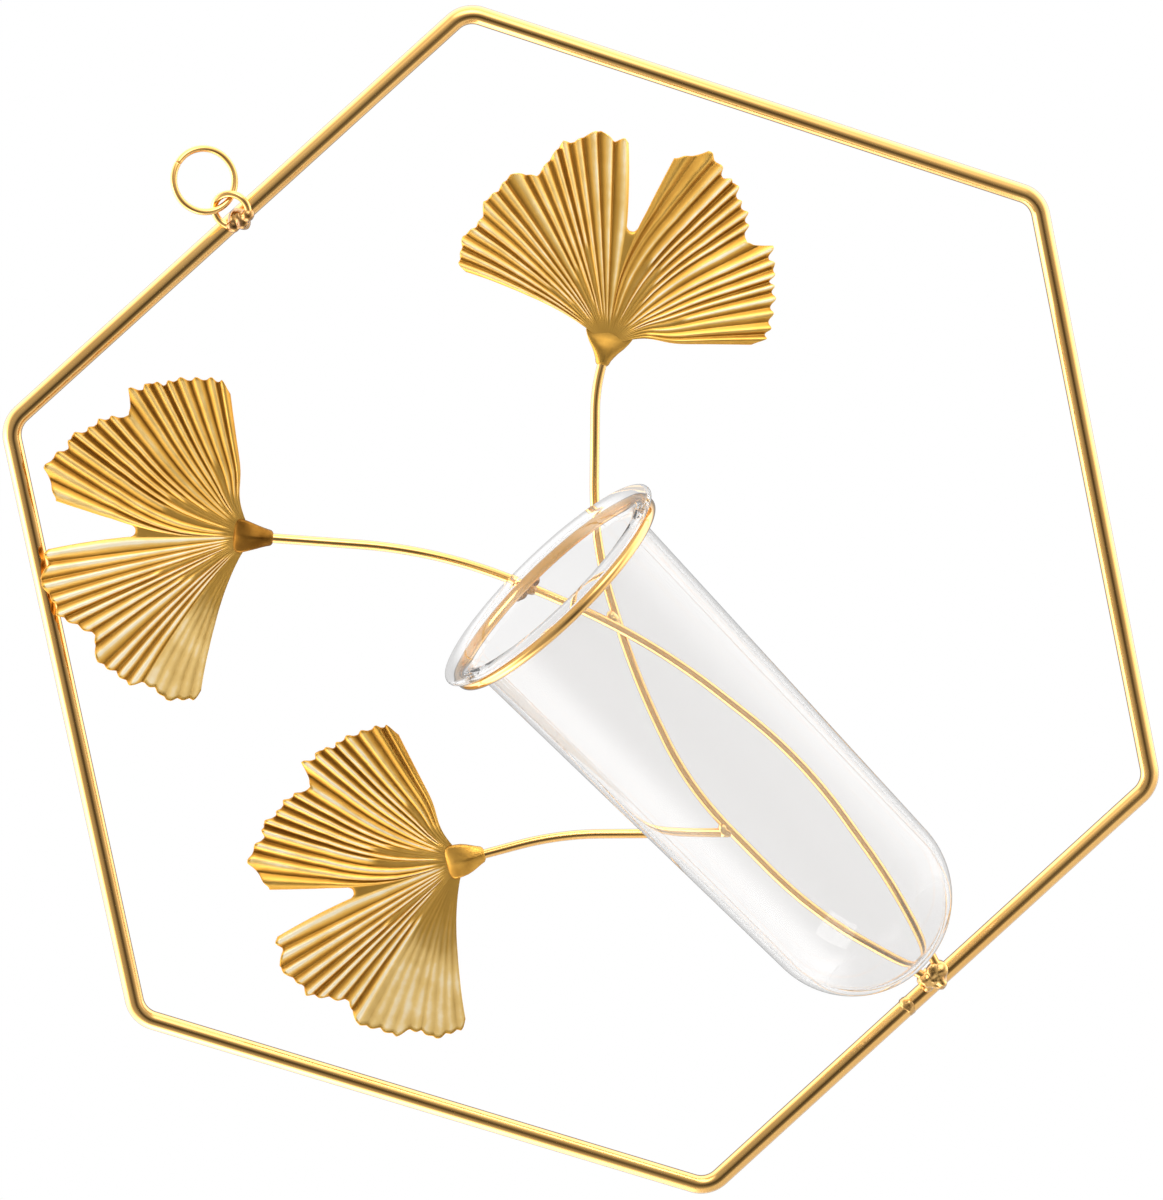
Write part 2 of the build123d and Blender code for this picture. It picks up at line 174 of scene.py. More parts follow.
# Light tent round the object and pale floor below it
TENT_R = 900.0
TENT_FRONT = 0.55
TENT_SIDE_RISE = 2.2
TENT_BACK_FALL = 2.4
TENT_DIMMEST = 0.03
FLOOR_Z = -480.0
FLOOR_R = 520.0
STAGE_UV = 0.005


def unit(vector):
    """A vector, or each row of vectors, divided by its length."""
    vector = np.asarray(vector, float)
    return vector / np.linalg.norm(vector, axis=-1, keepdims=True)


# Meshes

def grid_faces(rows, columns, round_rows, round_columns):
    """Corner indices of the quads of a grid, closed along a direction where it goes round."""
    down = np.arange(rows if round_rows else rows - 1)
    across = np.arange(columns if round_columns else columns - 1)
    i, j = np.meshgrid(down, across, indexing="ij")
    i2 = (i + 1) % rows
    j2 = (j + 1) % columns
    quads = np.stack([i * columns + j, i2 * columns + j, i2 * columns + j2, i * columns + j2], -1)
    steps = np.stack([np.stack(pair, -1) for pair in ((i, j), (i + 1, j), (i + 1, j + 1), (i, j + 1))], -2)
    return quads.reshape(-1, 4), steps.reshape(-1, 4, 2)


def pole_fans(rows, columns):
    """Triangles that close a grid at two poles, whose points come right after the grid's: from the first
    pole to the first row and from the second pole to the last row."""
    pole = rows * columns
    last = (rows - 1) * columns
    j = np.arange(columns)
    j2 = (j + 1) % columns
    first_fan = np.stack([np.full(columns, pole), j, j2], -1)
    last_fan = np.stack([np.full(columns, pole + 1), last + j2, last + j], -1)
    return np.concatenate([first_fan, last_fan])


def write_mesh(name, points, quads, quad_uv, triangles=None, triangle_uv=None, tone=None):
    """A smooth-shaded object from points in millimetres, quads and triangles, with a UV map in metres and,
    where it is given, a tone from 0 to 1 at each point."""
    mesh = bpy.data.meshes.new(name)
    mesh.vertices.add(len(points))
    mesh.vertices.foreach_set("co", (np.asarray(points) * MM).astype(np.float32).ravel())
    corners = quads.ravel()
    uv = quad_uv.reshape(-1, 2)
    sizes = np.full(len(quads), 4)
    if triangles is not None and len(triangles):
        corners = np.concatenate([corners, triangles.ravel()])
        uv = np.concatenate([uv, triangle_uv.reshape(-1, 2)])
        sizes = np.concatenate([sizes, np.full(len(triangles), 3)])
    starts = np.concatenate([[0], np.cumsum(sizes)[:-1]])
    mesh.loops.add(len(corners))
    mesh.loops.foreach_set("vertex_index", corners.astype(np.int32))
    mesh.polygons.add(len(sizes))
    mesh.polygons.foreach_set("loop_start", starts.astype(np.int32))
    mesh.polygons.foreach_set("use_smooth", np.ones(len(sizes), bool))
    layer = mesh.uv_layers.new(name="UVMap")
    layer.data.foreach_set("uv", uv.astype(np.float32).ravel())
    if tone is not None:
        mesh.attributes.new("tone", "FLOAT", "POINT").data.foreach_set("value", tone.astype(np.float32))
    mesh.update(calc_edges=True)
    mesh.validate()
    piece = bpy.data.objects.new(name, mesh)
    bpy.context.scene.collection.objects.link(piece)
    return piece


def tube_mesh(name, path, normal, radius, sides, closed):
    """A round profile carried along a flat path.

    Point (i, j) = path point i + radius i times (cos of angle j times the path's side + sin of it times the
    path's normal). An open path ends in poles, where the radius has run down to almost nothing.
    """
    path = np.asarray(path, float)
    if closed:
        ahead = np.roll(path, -1, 0) - np.roll(path, 1, 0)
    else:
        ahead = np.gradient(path, axis=0)
    normal = np.broadcast_to(unit(normal), path.shape)
    side = unit(np.cross(normal, ahead))
    angle = np.arange(sides) * 2 * np.pi / sides
    cosine = np.cos(angle)[None, :, None]
    sine = np.sin(angle)[None, :, None]
    ring = cosine * side[:, None, :] + sine * normal[:, None, :]
    radius = np.broadcast_to(np.asarray(radius, float), (len(path),))
    points = path[:, None, :] + radius[:, None, None] * ring
    gaps = np.linalg.norm(np.diff(path, axis=0, append=path[:1]), axis=1)
    along = np.concatenate([[0], np.cumsum(gaps)])
    quads, steps = grid_faces(len(path), sides, closed, True)
    around = 2 * np.pi * radius.max() / sides
    uv = np.stack([along[steps[..., 0]], steps[..., 1] * around], -1) * MM
    quads = quads[:, ::-1]
    uv = uv[:, ::-1]
    points = points.reshape(-1, 3)
    if closed:
        return write_mesh(name, points, quads, uv)
    triangles = pole_fans(len(path), sides)[:, ::-1]
    ends = np.array([0.0] * sides + [along[len(path) - 1]] * sides)
    fan_uv = np.stack([np.repeat(ends[:, None], 3, 1), np.zeros((2 * sides, 3))], -1) * MM
    points = np.concatenate([points, path[:1], path[-1:]])
    return write_mesh(name, points, quads, uv, triangles, fan_uv)


def bent_path(corners, bends, step, arc_step):
    """Straight runs with a tangent arc at each inner corner.

    On an arc of radius r the point at turn a is start + r sin a times the run's direction
    + r (1 - cos a) times the direction square to it, towards the next run.
    """
    corners = [np.asarray(corner, float) for corner in corners]
    pieces = []
    begin = corners[0]
    for before, corner, after, bend in zip(corners, corners[1:], corners[2:], bends):
        run_in = unit(corner - before)
        run_out = unit(after - corner)
        turn = math.acos(float(np.clip(run_in @ run_out, -1, 1)))
        square = unit(run_out - run_in * (run_in @ run_out))
        start = corner - run_in * bend * math.tan(turn / 2)
        rows = max(2, int(np.linalg.norm(start - begin) / step) + 1)
        share = np.linspace(0, 1, rows)[:-1, None]
        pieces.append(begin + (start - begin) * share)
        a = np.linspace(0, turn, max(4, int(turn / math.radians(arc_step)) + 1))[:, None]
        curve = start + bend * (np.sin(a) * run_in + (1 - np.cos(a)) * square)
        pieces.append(curve[:-1])
        begin = curve[-1]
    rows = max(2, int(np.linalg.norm(corners[-1] - begin) / step) + 1)
    pieces.append(begin + (corners[-1] - begin) * np.linspace(0, 1, rows)[:, None])
    return np.concatenate(pieces)


def rounded_ends(path, radius, round_over):
    """A path and its radii with both ends rounded over: rows crowd at the ends, where the radius falls as
    an arc."""
    turn = np.linspace(0, np.pi / 2, 7)[1:]
    cap = round_over * (1 - np.sin(turn))
    inset = radius - round_over + round_over * np.cos(turn)
    head = unit(path[1] - path[0])
    tail = unit(path[-1] - path[-2])
    start = path[0] + head * cap[::-1, None]
    finish = path[-1] - tail * cap[:, None]
    gone = np.linalg.norm(path - path[0], axis=1) < 1.2 * round_over
    gone |= np.linalg.norm(path - path[-1], axis=1) < 1.2 * round_over
    kept = path[~gone]
    lead_in = path[0] + head * round_over
    lead_out = path[-1] - tail * round_over
    whole = np.concatenate([start, lead_in[None], kept, lead_out[None], finish])
    radii = np.concatenate([inset[::-1], np.full(len(kept) + 2, radius), inset])
    return whole, radii


def circle_path(centre, radius, across, upwards, rows, start=0, turn=360, closed=True):
    """Points of a circle or an arc: centre + radius (cos a times across + sin a times upwards)."""
    a = math.radians(start) + math.radians(turn) * np.linspace(0, 1, rows, endpoint=not closed)
    return centre + radius * (np.cos(a)[:, None] * across + np.sin(a)[:, None] * upwards)


def drops(spot, *offsets):
    """A weld's drops as rows of x, y, z and radius, from their offsets from a spot and their radii."""
    return np.array([(*(np.asarray(spot) + offset[:3]), offset[3]) for offset in offsets])


def weld_mesh(name, lobes, roughness, seed):
    """A weld bead as one skin over several drops.

    Seen from the first drop's middle, the skin's distance in a direction is the largest distance to any
    drop's far side, smoothed, plus a sum of fine random waves.
    """
    middle = lobes[0, :3]
    rows, columns = 40, 64
    polar = np.linspace(0, np.pi, rows + 2)[1:-1]
    turn = np.arange(columns) * 2 * np.pi / columns
    p, t = np.meshgrid(polar, turn, indexing="ij")
    ways = np.stack([np.sin(p) * np.cos(t), np.sin(p) * np.sin(t), np.cos(p)], -1).reshape(-1, 3)
    ways = np.concatenate([ways, [[0, 0, 1.0], [0, 0, -1.0]]])
    offset = lobes[:, :3] - middle
    reach = ways @ offset.T
    inside = reach ** 2 - (offset ** 2).sum(1) + lobes[:, 3] ** 2
    far = np.where(inside > 0, reach + np.sqrt(np.maximum(inside, 0)), 0)
    sharp = 7.0
    distance = np.log(np.exp(far * sharp).sum(1)) / sharp
    wave_count, wave_pitch, wave_sum = 14, 5.0, 3.7
    random = np.random.default_rng(seed)
    waves = random.normal(size=(wave_count, 3)) * wave_pitch
    shifts = random.uniform(0, 2 * np.pi, wave_count)
    distance = distance + roughness * np.sin(ways @ waves.T + shifts).sum(1) / wave_sum
    points = middle + ways * distance[:, None]
    quads, steps = grid_faces(rows, columns, False, True)
    uv = steps * np.array([0.004 / rows, 0.006 / columns])
    triangles = pole_fans(rows, columns)
    return write_mesh(name, points, quads, uv, triangles, np.zeros((2 * columns, 3, 2)))


def lathe_mesh(name, profile, centre, across, deep, upwards, segments):
    """A profile of (radius, height) turned about an axis.

    Point (i, j) = centre + radius i times (cos of angle j across + sin of it deep) + height i upwards. The
    profile's first and last points are poles on the axis.
    """
    profile = np.asarray(profile, float)
    body = profile[1:-1]
    a = np.arange(segments) * 2 * np.pi / segments
    ring = np.cos(a)[:, None] * across + np.sin(a)[:, None] * deep
    points = centre + body[:, 0, None, None] * ring[None] + body[:, 1, None, None] * upwards
    quads, steps = grid_faces(len(body), segments, False, True)
    along = np.concatenate([[0], np.cumsum(np.linalg.norm(np.diff(body, axis=0), axis=1))])
    uv = np.stack([steps[..., 1] / segments, along[steps[..., 0]] * MM], -1)
    poles = centre + profile[[0, -1], 1][:, None] * upwards
    points = np.concatenate([points.reshape(-1, 3), poles])
    triangles = pole_fans(len(body), segments)[:, ::-1]
    fan_uv = np.zeros((2 * segments, 3, 2))
    return write_mesh(name, points, quads[:, ::-1], uv[:, ::-1], triangles, fan_uv)


def finish_piece(piece, material, slot, body, *nodes):
    """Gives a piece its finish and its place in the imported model."""
    piece.data.materials.append(material)
    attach(piece, body)
    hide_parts(*nodes)


# Finishes

class Finish:
    """A node material with one principled shader and short calls for its textures."""

    def __init__(self, name):
        self.material = bpy.data.materials.new(name)
        self.material.use_nodes = True
        self.tree = self.material.node_tree
        self.shader = self.tree.nodes["Principled BSDF"]
        self.coordinates = self.tree.nodes.new("ShaderNodeTexCoord")

    def link(self, source, target):
        """A wire between two sockets."""
        self.tree.links.new(source, target)

    def noise(self, kind, scale, stretch=(1, 1, 1), detail=4.0, rough=0.55):
        """Noise on Object or UV coordinates, stretched along the axes."""
        mapping = self.tree.nodes.new("ShaderNodeMapping")
        mapping.inputs["Scale"].default_value = stretch
        texture = self.tree.nodes.new("ShaderNodeTexNoise")
        texture.inputs["Scale"].default_value = scale
        texture.inputs["Detail"].default_value = detail
        texture.inputs["Roughness"].default_value = rough
        self.link(self.coordinates.outputs[kind], mapping.inputs["Vector"])
        self.link(mapping.outputs["Vector"], texture.inputs["Vector"])
        return texture.outputs["Fac"]

    def attribute(self, name):
        """A value that the mesh holds at each point."""
        node = self.tree.nodes.new("ShaderNodeAttribute")
        node.attribute_name = name
        return node.outputs["Fac"]

    def air_side(self):
        """1 where a surface is met from outside, 0 from within."""
        side = self.tree.nodes.new("ShaderNodeNewGeometry")
        node = self.tree.nodes.new("ShaderNodeMath")
        node.operation = "SUBTRACT"
        node.inputs[0].default_value = 1.0
        self.link(side.outputs["Backfacing"], node.inputs[1])
        return node.outputs["Value"]

    def total(self, one, other):
        """The sum of two values."""
        node = self.tree.nodes.new("ShaderNodeMath")
        node.operation = "ADD"
        self.link(one, node.inputs[0])
        self.link(other, node.inputs[1])
        return node.outputs["Value"]

    def spread(self, value, low, high, start=0.3, end=0.7):
        """A value between start and end, at first a texture's middle range, taken to low and high."""
        node = self.tree.nodes.new("ShaderNodeMapRange")
        node.inputs["From Min"].default_value = start
        node.inputs["From Max"].default_value = end
        node.inputs["To Min"].default_value = low
        node.inputs["To Max"].default_value = high
        self.link(value, node.inputs["Value"])
        return node.outputs["Result"]

    def tones(self, value, *stops):
        """A colour ramp over a value, from (place, colour) pairs."""
        node = self.tree.nodes.new("ShaderNodeValToRGB")
        ramp = node.color_ramp
        while len(ramp.elements) < len(stops):
            ramp.elements.new(0.5)
        for element, (place, colour) in zip(ramp.elements, stops):
            element.position = place
            element.color = (*colour, 1)
        self.link(value, node.inputs["Fac"])
        return node.outputs["Color"]

    def bump(self, value, strength, distance, under=None):
        """A bump of the given height in metres, over an earlier one where there is one."""
        node = self.tree.nodes.new("ShaderNodeBump")
        node.inputs["Strength"].default_value = strength
        node.inputs["Distance"].default_value = distance
        self.link(value, node.inputs["Height"])
        if under is not None:
            self.link(under, node.inputs["Normal"])
        return node.outputs["Normal"]

    def set(self, name, value):
        """Puts a number, a colour or another node's output on one of the shader's sockets."""
        socket = self.shader.inputs[name]
        if hasattr(value, "is_linked"):
            self.link(value, socket)
        else:
            socket.default_value = value


def polished_gold():
    """Bright plating on drawn wire under clear lacquer: faint die lines along the wire and a slow drift of
    tone."""
    finish = Finish("polished_gold_wire")
    lines = finish.noise("UV", 900.0, (0.01, 1, 1), detail=2.0)
    drift = finish.noise("Object", 45.0, detail=2.0)
    finish.set("Base Color", finish.tones(
        drift,
        (0.3, (0.77, 0.40, 0.075)),
        (0.7, (0.83, 0.46, 0.105)),
    ))
    finish.set("Metallic", 1.0)
    finish.set("Roughness", finish.spread(lines, 0.10, 0.17))
    finish.set("Coat Weight", 1.0)
    finish.set("Coat IOR", 1.7)
    finish.set("Coat Roughness", 0.08)
    finish.set("Normal", finish.bump(lines, 0.04, 0.00001))
    return finish.material


def weld_gold(name, dark, light):
    """Plated weld: duller than the wire, in random patches of a dark and a light tone, with a rough skin; a
    darker pair of tones paints the weld in shade, a paler pair paints it in light.
    """
    finish = Finish(name)
    skin = finish.noise("Object", 1500.0, detail=4.0, rough=0.6)
    patches = finish.noise("Object", 420.0, detail=2.0)
    finish.set("Base Color", finish.tones(patches, (0.3, dark), (0.7, light)))
    finish.set("Metallic", 1.0)
    finish.set("Roughness", finish.spread(skin, 0.15, 0.32))
    finish.set("Coat Weight", 0.8)
    finish.set("Coat IOR", 1.6)
    finish.set("Coat Roughness", 0.12)
    finish.set("Normal", finish.bump(skin, 0.35, 0.0001))
    return finish.material


def satin_surface(finish, metal):
    """Satin plating on stamped sheet: fine grain that runs out from the root, over fine specks."""
    grain = finish.noise("UV", 2200.0, (1, 0.05, 1), detail=3.0)
    speck = finish.noise("Object", 5200.0, detail=2.0)
    finish.set("Metallic", metal)
    finish.set("Roughness", finish.spread(grain, 0.36, 0.48))
    under = finish.bump(speck, 0.15, 0.00003)
    finish.set("Normal", finish.bump(grain, 0.15, 0.00004, under))


def leaf_gold():
    """Leaf plating with painted light and shade from the sheet's own tone: a painted shade of deep brown in
    the grooves, gold on the flanks and a painted highlight of matt pale gold along the crests, where the
    plating is also less metallic so that it lights up; soft patches shift the tone a little."""
    finish = Finish("satin_gold_sheet_painted_shading")
    painted_shading = finish.attribute("tone")
    patches = finish.spread(finish.noise("Object", 160.0, detail=3.0), -0.06, 0.06)
    shifted = finish.total(painted_shading, patches)
    finish.set("Base Color", finish.tones(
        shifted,
        (0.02, (0.28, 0.115, 0.014)),
        (0.30, (0.54, 0.27, 0.043)),
        (0.62, (0.76, 0.43, 0.085)),
        (0.86, (0.88, 0.60, 0.21)),
        (0.97, (1.0, 0.87, 0.62)),
    ))
    satin_surface(finish, finish.spread(shifted, 1.0, 0.35, 0.70, 0.86))
    return finish.material


def crimp_gold(name, dark, light):
    """Plating on a crimped ferrule, in patches of two tones."""
    finish = Finish(name)
    patches = finish.noise("Object", 260.0, detail=3.0)
    finish.set("Base Color", finish.tones(patches, (0.3, dark), (0.7, light)))
    satin_surface(finish, 1.0)
    return finish.material


def clear_glass():
    """Clear drawn glass with faint draw lines and a slight grey body, under a bright fire-polished skin
    that is seen from the air and not from within the glass."""
    finish = Finish("clear_drawn_glass")
    waver = finish.noise("Object", 60.0, (1, 1, 0.15), detail=2.0)
    finish.set("Base Color", finish.tones(
        waver,
        (0.3, (0.90, 0.893, 0.888)),
        (0.7, (0.915, 0.908, 0.903)),
    ))
    finish.set("Roughness", 0.0)
    finish.set("IOR", 1.04)
    finish.set("Transmission Weight", 0.97)
    finish.set("Coat Weight", finish.air_side())
    finish.set("Coat IOR", 1.4)
    finish.set("Coat Roughness", 0.02)
    finish.set("Normal", finish.bump(waver, 0.02, 0.0004))
    return finish.material


GOLD_WIRE = polished_gold()
# Three copies of the weld plating: the plain one, one painted darker as shade for the eyelet and neck welds,
# and one painted paler as light for the crossing and branch welds
WELD = weld_gold("plated_weld", (0.36, 0.17, 0.03), (0.84, 0.50, 0.14))
WELD_PAINTED_SHADE = weld_gold("plated_weld_painted_shade", (0.15, 0.062, 0.009), (0.55, 0.28, 0.055))
WELD_PAINTED_LIGHT = weld_gold("plated_weld_painted_light", (0.66, 0.37, 0.085), (0.88, 0.58, 0.20))
GOLD_SHEET = leaf_gold()
# Each ferrule's pair of tones is painted light and shade: the upper-left one painted dark as in shade, the
# right one painted pale as if lit, the lower-left one between
GOLD_CRIMP = {
    "upper_left": crimp_gold("satin_gold_crimp_painted_shade", (0.16, 0.064, 0.008), (0.31, 0.14, 0.021)),
    "right": crimp_gold("satin_gold_crimp_painted_light", (0.44, 0.23, 0.039), (0.57, 0.315, 0.06)),
    "lower_left": crimp_gold("satin_gold_crimp", (0.46, 0.225, 0.035), (0.66, 0.36, 0.068)),
}
GLASS = clear_glass()


# Hexagon

def hexagon_path():
    """The rod's centre line from one side of the seam round to the other."""
    half = FRAME_SIDE / 2
    outline = [
        (SEAM_X + SEAM_GAP / 2, -APOTHEM), (half, -APOTHEM), (FRAME_SIDE, 0), (half, APOTHEM),
        (-half, APOTHEM), (-FRAME_SIDE, 0), (-half, -APOTHEM), (SEAM_X - SEAM_GAP / 2, -APOTHEM),
    ]
    corners = [(x, FRAME_Y, CENTRE_Z + z) for x, z in outline]
    return bent_path(corners, [FRAME_BEND_R] * 6, step=4.0, arc_step=4.0)


rod_path, rod_radii = rounded_ends(hexagon_path(), ROD_R, ROD_END_ROUND)
frame_rod = tube_mesh("frame_rod", rod_path, (0, 1, 0), rod_radii, ROD_SIDES, closed=False)
finish_piece(frame_rod, GOLD_WIRE, "polished_gold", "wall_frame", "hexagon_frame")

seam_drops = drops((SEAM_X, FRAME_Y, BOTTOM_ROD_Z), (0, 0, 0, 2.12), (0.3, -0.25, 0.2, 2.0))
seam_bead = weld_mesh("seam_bead", seam_drops, roughness=0.05, seed=3)
finish_piece(seam_bead, WELD, "weld_gold", "wall_frame", "frame_seam_weld")


# Hanging ring

def upright_axes(yaw):
    """Across and facing directions of an upright plane turned by yaw degrees about the vertical."""
    turn = math.radians(yaw)
    across = np.array([math.cos(turn), math.sin(turn), 0])
    facing = np.array([math.sin(turn), -math.cos(turn), 0])
    return across, facing


UP = np.array([0.0, 0.0, 1.0])
eyelet_across, eyelet_facing = upright_axes(EYELET_YAW)
eyelet_middle = np.array([0, 0, EYELET_Z])
eyelet_line = circle_path(eyelet_middle, EYELET_R, eyelet_across, UP, EYELET_ROWS)
eyelet_loop = tube_mesh("eyelet_loop", eyelet_line, -eyelet_facing, EYELET_WIRE_R, RING_SIDES, closed=True)
finish_piece(eyelet_loop, GOLD_WIRE, "polished_gold", "wall_frame", "hanging_eyelet")

eyelet_feet = circle_path(
    eyelet_middle, EYELET_R, eyelet_across, UP, rows=3, start=-125, turn=70, closed=False)
top_rod = (0, FRAME_Y, TOP_ROD_Z)
eyelet_drops = np.concatenate([
    drops(top_rod, (0, -2.8, 0.1, 2.2)),
    *[drops(foot, (0, -0.1, 0.1, 1.45)) for foot in eyelet_feet],
    drops(top_rod, (0.2, -2.4, -1.2, 1.6)),
])
eyelet_bead = weld_mesh("eyelet_bead", eyelet_drops, roughness=0.09, seed=5)
finish_piece(eyelet_bead, WELD_PAINTED_SHADE, "weld_gold", "wall_frame", "eyelet_weld")

ring_across, ring_facing = upright_axes(RING_YAW)
ring_line = circle_path(
    np.zeros(3), RING_R, ring_across, UP, RING_ROWS,
    start=RING_SPLIT_AT + RING_SPLIT_ANGLE / 2, turn=360 - RING_SPLIT_ANGLE, closed=False,
)
ring_line, ring_radii = rounded_ends(ring_line, RING_WIRE_R, RING_END_ROUND)
split_ring = tube_mesh("split_ring", ring_line, -ring_facing, ring_radii, RING_SIDES, closed=False)
finish_piece(split_ring, GOLD_WIRE, "polished_gold", "hanger", "hanging_ring")


# Stems

def stem_line(route, lean):
    """A stem's centre line from its (x, height) corners, each bend as large as its runs leave room for."""
    route = np.asarray(route, float)
    corners = np.stack([
        route[:, 0], STEM_FOOT_Y - lean * route[:, 1], BOTTOM_ROD_Z + route[:, 1],
    ], -1)
    runs = np.diff(corners, axis=0)
    length = np.linalg.norm(runs, axis=1)
    ways = runs / length[:, None]
    turn = np.arccos(np.clip((ways[:-1] * ways[1:]).sum(1), -1, 1))
    bends = FILLET_SHARE * np.minimum(length[:-1], length[1:]) / np.tan(turn / 2)
    return bent_path(corners, bends, step=1.5, arc_step=0.8)


def at_height(path, height):
    """The point of a rising line at a height above the bottom rod."""
    z = BOTTOM_ROD_Z + height
    return np.array([np.interp(z, path[:, 2], path[:, k]) for k in range(3)])


UPPER_LEFT_TIP = (-(FRAME_SIDE - 87.3), APOTHEM + 60.4)
RIGHT_TIP = (FRAME_SIDE - 90.3, APOTHEM + 39.2)
LOWER_LEFT_TIP = (-(FRAME_SIDE - 74.5), APOTHEM - 22.4)
upper_left_line = stem_line([
    (3.3, 0.8), (8.6, 23.0), (12.3, 57.0), (5.0, CROSSING_H - 5.5), (-15.0, CROSSING_H + 38.5),
    UPPER_LEFT_TIP,
], STEM_PITCH)
right_line = stem_line([
    (0.6, 2.2), (-8.6, 31.0), (-10.2, 69.0), (-2.4, CROSSING_H - 9.5), (10.0, CROSSING_H + 17.5),
    (RIGHT_TIP[0] - 7.9, RIGHT_TIP[1] - 5.4), RIGHT_TIP,
], -STEM_PITCH)
branch_joint = at_height(right_line, BRANCH_H)
branch_tilt = math.sin(math.radians(BRANCH_SLOPE))
branch_foot_x = branch_joint[0] - STEM_R - STEM_R * branch_tilt - SEAT
lower_left_line = stem_line([
    (branch_foot_x, BRANCH_H), (LOWER_LEFT_TIP[0] + 18.0, LOWER_LEFT_TIP[1] - 9.5), LOWER_LEFT_TIP,
], 0.0)
lower_left_line[:, 1] = branch_joint[1]

STEMS = {
    "upper_left": (upper_left_line, (0, 1, STEM_PITCH)),
    "right": (right_line, (0, 1, -STEM_PITCH)),
    "lower_left": (lower_left_line, (0, 1, 0)),
}
for where, (line, normal) in STEMS.items():
    path, radii = rounded_ends(line, STEM_R, STEM_END_ROUND)
    stem = tube_mesh("stem_" + where, path, normal, radii, STEM_SIDES, closed=False)
    finish_piece(stem, GOLD_WIRE, "polished_gold", "wall_frame", where + "_stem")

crossing_bead_h = CROSSING_H + 2.4
crossing = (at_height(upper_left_line, crossing_bead_h) + at_height(right_line, crossing_bead_h)) / 2
crossing_drops = drops(crossing, (0, 0, 0, 1.45), (0.3, -0.1, 1.0, 1.1), (-0.3, 0.1, -0.9, 1.15))
crossing_bead = weld_mesh("crossing_bead", crossing_drops, roughness=0.05, seed=7)
finish_piece(crossing_bead, WELD_PAINTED_LIGHT, "weld_gold", "wall_frame", "crossing_weld")

branch_spot = np.array([branch_foot_x + STEM_R / 2, branch_joint[1], branch_joint[2]])
branch_drops = drops(branch_spot, (0, 0, 0, 1.35), (0.4, -0.3, 0.8, 1.0), (0.4, -0.2, -0.8, 1.0))
branch_bead = weld_mesh("branch_bead", branch_drops, roughness=0.05, seed=11)
finish_piece(branch_bead, WELD_PAINTED_LIGHT, "weld_gold", "wall_frame", "branch_weld")

base_spot = np.array([1.95, STEM_FOOT_Y + STEM_R / 2, BOTTOM_ROD_Z + 1.5])
base_drops = drops(
    base_spot, (0, 0, 0, 2.5), (-1.9, -0.5, 1.0, 1.8), (2.0, -0.5, 0.4, 1.9),
    (0.2, -0.5, -1.6, 1.7), (0.6, -1.0, 1.6, 1.5), (-2.5, 0.4, -0.7, 1.3),
)
base_bead = weld_mesh("base_bead", base_drops, roughness=0.2, seed=13)
finish_piece(base_bead, WELD, "weld_gold", "wall_frame", "base_weld")


# Leaves

def smooth_step(value, low, high):
    """0 below low, 1 above high, an S curve between."""
    share = np.clip((value - low) / (high - low), 0, 1)
    return share * share * (3 - 2 * share)


def rib_columns(cleft_side, crests, grooves, starts):
    """Columns of one half from the cleft outwards: angle, height in the rib (0 groove to 1 crest) and where
    the rib starts.

    From a groove to a crest the height is a mix of a quarter sine wave, round on the crest and sharp in the
    groove, and half a cosine wave.
    """
    valleys = np.array([cleft_side, *grooves, LEAF_SIDE], float)
    crests = np.asarray(crests, float)
    steps = np.linspace(0, 1, 7)
    climb = steps[:-1]
    rise = 0.55 * np.sin(np.pi / 2 * steps) + 0.45 * (1 - np.cos(np.pi * steps)) / 2
    up = valleys[:-1, None] + (crests - valleys[:-1])[:, None] * climb
    down = crests[:, None] + (valleys[1:] - crests)[:, None] * climb
    angle = np.append(np.concatenate([up, down], 1).ravel(), LEAF_SIDE)
    height = np.append(np.tile(np.concatenate([rise[:-1], rise[:0:-1]]), len(crests)), 0.0)
    begin = np.append(np.repeat(np.asarray(starts, float), 2 * len(climb)), starts[-1])
    height[:len(climb)] = 0.5 + 0.5 * height[:len(climb)]
    return angle, height, begin


def left_angle(angle, radius):
    """Where a line of the left half lies at a radius: outer lines draw in towards the axis near the root, and
    the cleft's side leans towards the axis."""
    drawn = np.interp(
        radius,
        (5, 10, 15, 20, 25, 30, RIB_RADIUS, 45),
        (0.22, 0.17, 0.125, 0.085, 0.055, 0.03, 0, -0.03),
    )
    lean = np.clip(0.2 * (radius - RIB_RADIUS), -2.0, 1.4) * np.clip((11.5 - angle) / 5.2, 0, 1)
    return angle - 1.1 * drawn * np.maximum(angle - 22, 0) + lean


def right_angle(angle, radius):
    """Where a line of the right half lies at a radius: its lines curve over towards the axis near the root."""
    bow = np.interp(
        radius,
        (5, 11, 15, 20, 25, 30, RIB_RADIUS, 40, 45),
        (0.96, 0.91, 0.81, 0.6, 0.38, 0.17, 0, -0.09, -0.19),
    )
    reach = np.interp(
        angle,
        (RIGHT_CLEFT_SIDE, 12, 16.7, 21.3, 37, 45.6, 57, LEAF_SIDE),
        (10, 15.7, 14, 11, 10, 7.4, 4.3, 1),
    )
    drawn = 1 - 0.16 * np.exp(-(radius / 11) ** 4) * smooth_step(angle, 30, 70)
    return (angle - reach * bow) * drawn


def leaf_edge(angle, edge, angle_at):
    """Radius of a leaf's edge on each line: the edge list read at the angle where the line meets it, found in
    four rounds from the mean radius."""
    radius = np.full(len(angle), LEAF_MEAN_R)
    for _ in range(4):
        radius = np.interp(angle_at(angle, radius), *edge)
    return radius


